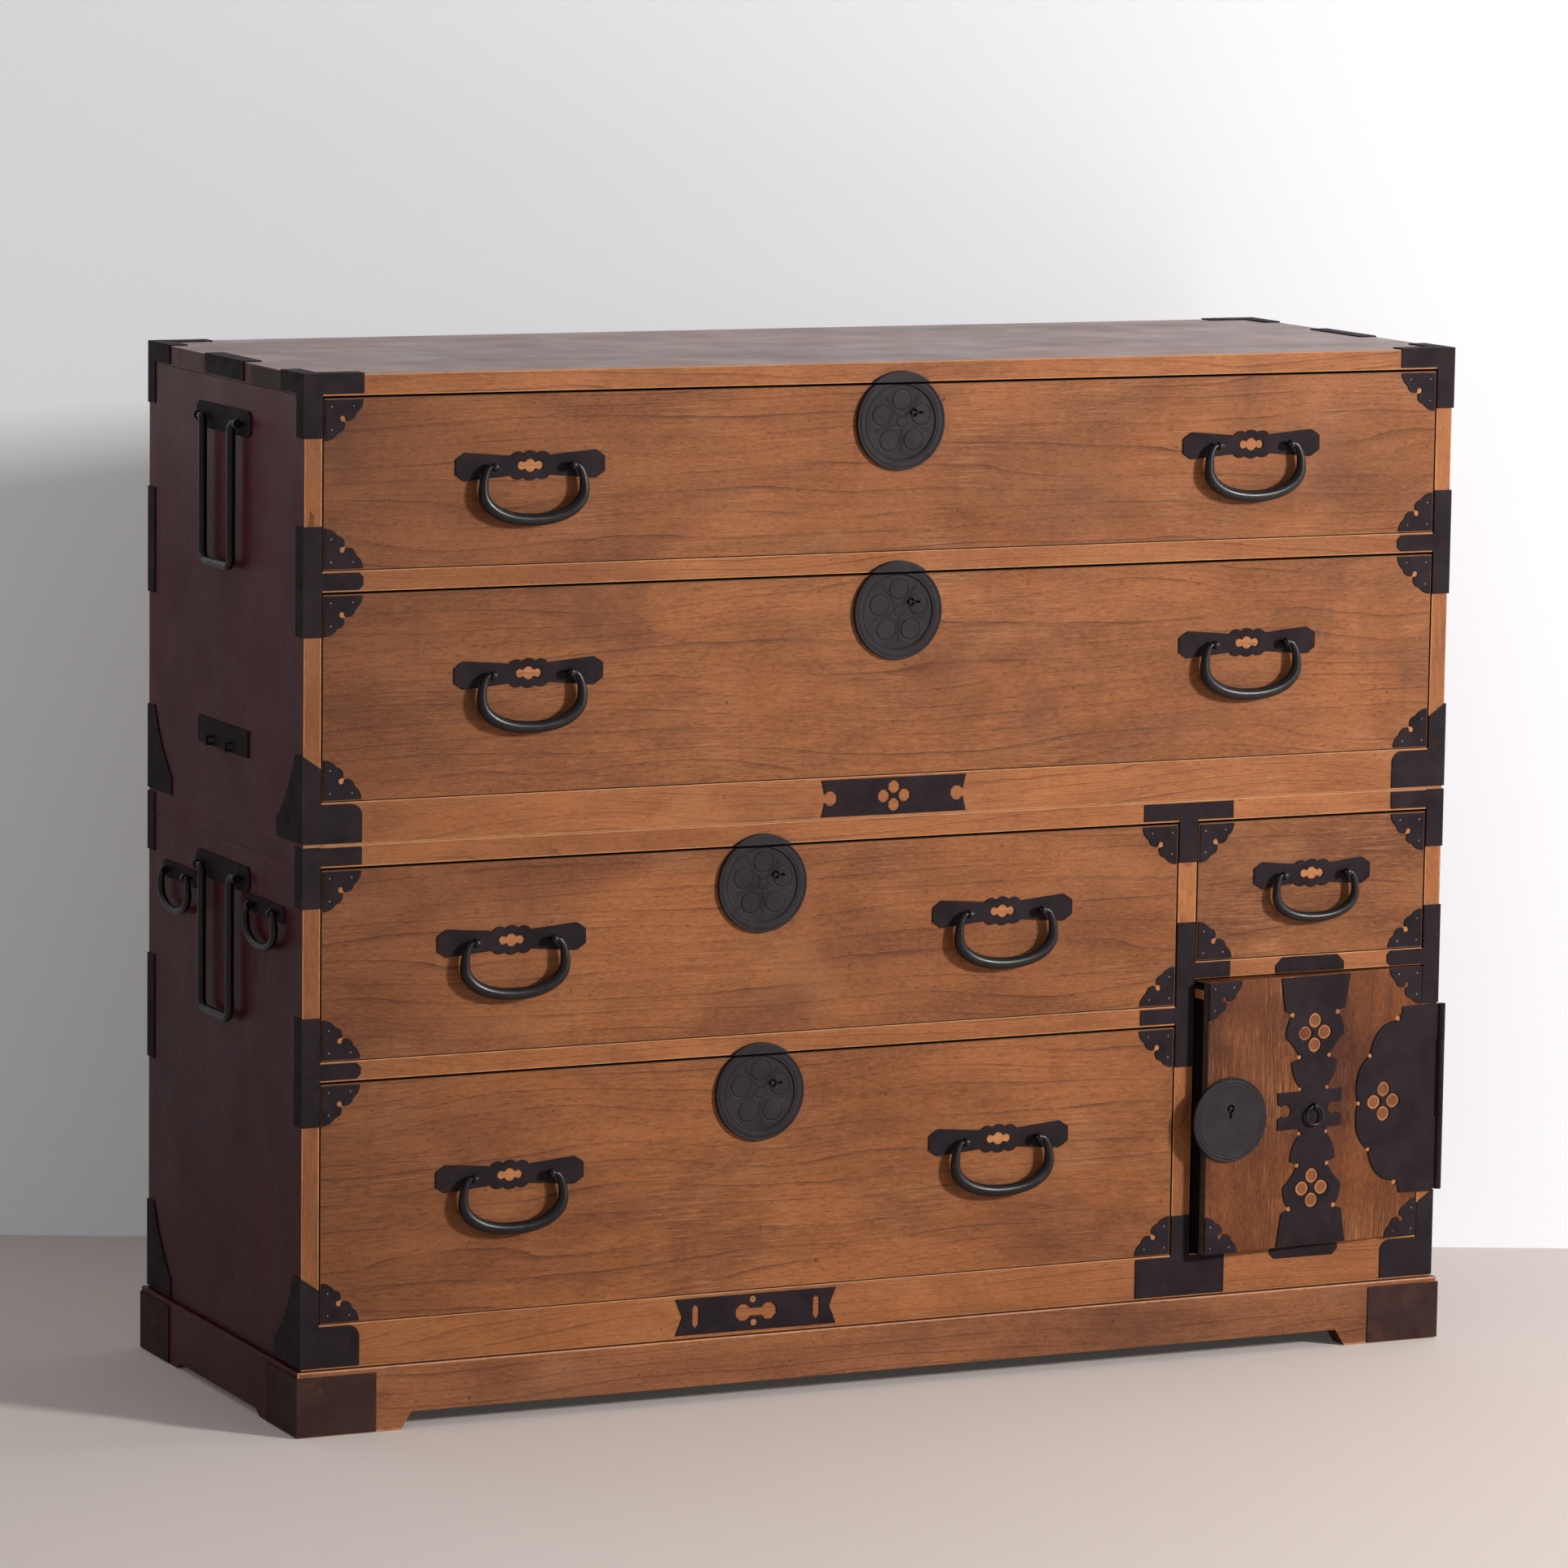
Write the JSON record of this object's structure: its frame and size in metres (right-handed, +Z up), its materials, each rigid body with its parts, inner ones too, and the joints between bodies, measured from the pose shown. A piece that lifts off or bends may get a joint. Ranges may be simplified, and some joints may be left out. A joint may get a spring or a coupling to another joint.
{
  "type": "clothing chest",
  "caption": "Two stacked lacquered wooden cases on a plinth, with wide drawers, a small hinged door and pierced black iron fittings with drop handles.",
  "frame": {"origin": "on the floor under the middle of the chest's outer box", "axes": "+X to the right seen from the front, the drawers open towards -Y, +Z up"},
  "size_m": [1.2056, 0.4344, 0.9694],
  "materials": {
    "front_wood": "oiled orange-brown softwood with fine dark grain, satin",
    "lacquered_wood": "dark maroon lacquer over wood, satin with wear",
    "inner_wood": "bare pale softwood, matt",
    "door_wood": "worn reddish stain with upright grain, satin",
    "black_iron": "black wrought iron with a smoky purple-blue film, satin",
    "brown_iron": "brown-black iron, duller and lightly rusted"
  },
  "bodies": {
    "lower_case": {"base_frame": "lacquered_wood", "base_corner_irons": "brown_iron", "lower_side_boards": "lacquered_wood", "lower_top_board": "lacquered_wood", "lower_shelves": "front_wood", "lower_divider": "front_wood", "lower_back_board": "inner_wood", "lower_front_irons": "black_iron", "lower_side_irons": "black_iron", "lower_handle_mounts": "black_iron", "door_hinge_case_leaf": "black_iron"},
    "upper_case": {"upper_side_boards": "lacquered_wood", "upper_top_board": "lacquered_wood", "upper_shelves": "front_wood", "upper_back_board": "inner_wood", "upper_front_irons": "black_iron", "upper_side_irons": "black_iron", "upper_handle_mounts": "black_iron"},
    "drawer_1": {"drawer_1_front": "front_wood", "drawer_1_box": "inner_wood", "drawer_1_irons": "black_iron", "drawer_1_lock_plate": "black_iron"},
    "drawer_1_bail_left": {"drawer_1_bail_left": "black_iron"},
    "drawer_1_bail_right": {"drawer_1_bail_right": "black_iron"},
    "drawer_2": {"drawer_2_front": "front_wood", "drawer_2_box": "inner_wood", "drawer_2_irons": "black_iron", "drawer_2_lock_plate": "black_iron"},
    "drawer_2_bail_left": {"drawer_2_bail_left": "black_iron"},
    "drawer_2_bail_right": {"drawer_2_bail_right": "black_iron"},
    "drawer_3": {"drawer_3_front": "front_wood", "drawer_3_box": "inner_wood", "drawer_3_irons": "black_iron", "drawer_3_lock_plate": "black_iron"},
    "drawer_3_bail_left": {"drawer_3_bail_left": "black_iron"},
    "drawer_3_bail_right": {"drawer_3_bail_right": "black_iron"},
    "drawer_4": {"drawer_4_front": "front_wood", "drawer_4_box": "inner_wood", "drawer_4_irons": "black_iron", "drawer_4_lock_plate": "black_iron"},
    "drawer_4_bail_left": {"drawer_4_bail_left": "black_iron"},
    "drawer_4_bail_right": {"drawer_4_bail_right": "black_iron"},
    "small_drawer": {"small_drawer_front": "front_wood", "small_drawer_box": "inner_wood", "small_drawer_irons": "black_iron"},
    "small_drawer_bail": {"small_drawer_bail": "black_iron"},
    "upper_handle_right": {"upper_handle_right": "black_iron"},
    "upper_handle_left": {"upper_handle_left": "black_iron"},
    "lower_handle_right": {"lower_handle_right": "black_iron"},
    "lower_handle_left": {"lower_handle_left": "black_iron"},
    "side_bail_right_front": {"side_bail_right_front": "black_iron"},
    "side_bail_right_rear": {"side_bail_right_rear": "black_iron"},
    "side_bail_left_front": {"side_bail_left_front": "black_iron"},
    "side_bail_left_rear": {"side_bail_left_rear": "black_iron"},
    "door": {"door_panel": "door_wood", "door_irons": "black_iron", "door_hinge_leaf": "black_iron", "door_lock_plate": "black_iron"},
    "door_ring": {"door_ring": "black_iron"}
  },
  "joints": [
    {"name": "upper_case_lift", "type": "slide", "parent": "lower_case", "child": "upper_case", "axis": [0, 0, 1], "range_m": [0, 0.25]},
    {"name": "drawer_1_slide", "type": "slide", "parent": "upper_case", "child": "drawer_1", "axis": [0, -1, 0], "range_m": [0, 0.3]},
    {"name": "drawer_1_bail_left_swing", "type": "hinge", "parent": "drawer_1", "child": "drawer_1_bail_left", "pos_m": [-0.371, -0.20347, 0.8819], "axis": [-1, 0, 0], "range_deg": [-4, 170]},
    {"name": "drawer_1_bail_right_swing", "type": "hinge", "parent": "drawer_1", "child": "drawer_1_bail_right", "pos_m": [0.371, -0.20347, 0.8819], "axis": [-1, 0, 0], "range_deg": [-4, 170]},
    {"name": "drawer_2_slide", "type": "slide", "parent": "upper_case", "child": "drawer_2", "axis": [0, -1, 0], "range_m": [0, 0.3]},
    {"name": "drawer_2_bail_left_swing", "type": "hinge", "parent": "drawer_2", "child": "drawer_2_bail_left", "pos_m": [-0.371, -0.20347, 0.6925], "axis": [-1, 0, 0], "range_deg": [-4, 170]},
    {"name": "drawer_2_bail_right_swing", "type": "hinge", "parent": "drawer_2", "child": "drawer_2_bail_right", "pos_m": [0.371, -0.20347, 0.6925], "axis": [-1, 0, 0], "range_deg": [-4, 170]},
    {"name": "drawer_3_slide", "type": "slide", "parent": "lower_case", "child": "drawer_3", "axis": [0, -1, 0], "range_m": [0, 0.3]},
    {"name": "drawer_3_bail_left_swing", "type": "hinge", "parent": "drawer_3", "child": "drawer_3_bail_left", "pos_m": [-0.3855, -0.20347, 0.4475], "axis": [-1, 0, 0], "range_deg": [-4, 170]},
    {"name": "drawer_3_bail_right_swing", "type": "hinge", "parent": "drawer_3", "child": "drawer_3_bail_right", "pos_m": [0.1155, -0.20347, 0.4475], "axis": [-1, 0, 0], "range_deg": [-4, 170]},
    {"name": "drawer_4_slide", "type": "slide", "parent": "lower_case", "child": "drawer_4", "axis": [0, -1, 0], "range_m": [0, 0.3]},
    {"name": "drawer_4_bail_left_swing", "type": "hinge", "parent": "drawer_4", "child": "drawer_4_bail_left", "pos_m": [-0.3855, -0.20347, 0.2296], "axis": [-1, 0, 0], "range_deg": [-4, 170]},
    {"name": "drawer_4_bail_right_swing", "type": "hinge", "parent": "drawer_4", "child": "drawer_4_bail_right", "pos_m": [0.1155, -0.20347, 0.2296], "axis": [-1, 0, 0], "range_deg": [-4, 170]},
    {"name": "small_drawer_slide", "type": "slide", "parent": "lower_case", "child": "small_drawer", "axis": [0, -1, 0], "range_m": [0, 0.3]},
    {"name": "small_drawer_bail_swing", "type": "hinge", "parent": "small_drawer", "child": "small_drawer_bail", "pos_m": [0.4476, -0.20347, 0.4667], "axis": [-1, 0, 0], "range_deg": [-4, 170]},
    {"name": "upper_handle_right_swing", "type": "hinge", "parent": "upper_case", "child": "upper_handle_right", "pos_m": [0.5978, 0.00853, 0.9122], "axis": [0, -1, 0], "range_deg": [0, 175]},
    {"name": "upper_handle_left_swing", "type": "hinge", "parent": "upper_case", "child": "upper_handle_left", "pos_m": [-0.5978, 0.00853, 0.9122], "axis": [0, 1, 0], "range_deg": [0, 175]},
    {"name": "lower_handle_right_swing", "type": "hinge", "parent": "lower_case", "child": "lower_handle_right", "pos_m": [0.5978, 0.00853, 0.4929], "axis": [0, -1, 0], "range_deg": [0, 175]},
    {"name": "lower_handle_left_swing", "type": "hinge", "parent": "lower_case", "child": "lower_handle_left", "pos_m": [-0.5978, 0.00853, 0.4929], "axis": [0, 1, 0], "range_deg": [0, 175]},
    {"name": "side_bail_right_front_swing", "type": "hinge", "parent": "lower_case", "child": "side_bail_right_front", "pos_m": [0.597, -0.10447, 0.4739], "axis": [0, -1, 0], "range_deg": [-3, 175]},
    {"name": "side_bail_right_rear_swing", "type": "hinge", "parent": "lower_case", "child": "side_bail_right_rear", "pos_m": [0.597, 0.12153, 0.4739], "axis": [0, -1, 0], "range_deg": [-3, 175]},
    {"name": "side_bail_left_front_swing", "type": "hinge", "parent": "lower_case", "child": "side_bail_left_front", "pos_m": [-0.597, -0.10447, 0.4739], "axis": [0, 1, 0], "range_deg": [-3, 175]},
    {"name": "side_bail_left_rear_swing", "type": "hinge", "parent": "lower_case", "child": "side_bail_left_rear", "pos_m": [-0.597, 0.12153, 0.4739], "axis": [0, 1, 0], "range_deg": [-3, 175]},
    {"name": "door_hinge", "type": "hinge", "parent": "lower_case", "child": "door", "pos_m": [0.5945, -0.19617, 0.2395], "axis": [0, 0, 1], "range_deg": [-4, 172]},
    {"name": "door_ring_swing", "type": "hinge", "parent": "door", "child": "door_ring", "pos_m": [0.44841, -0.20999, 0.2409], "axis": [-0.9976, -0.0698, 0], "range_deg": [0, 150]}
  ]
}
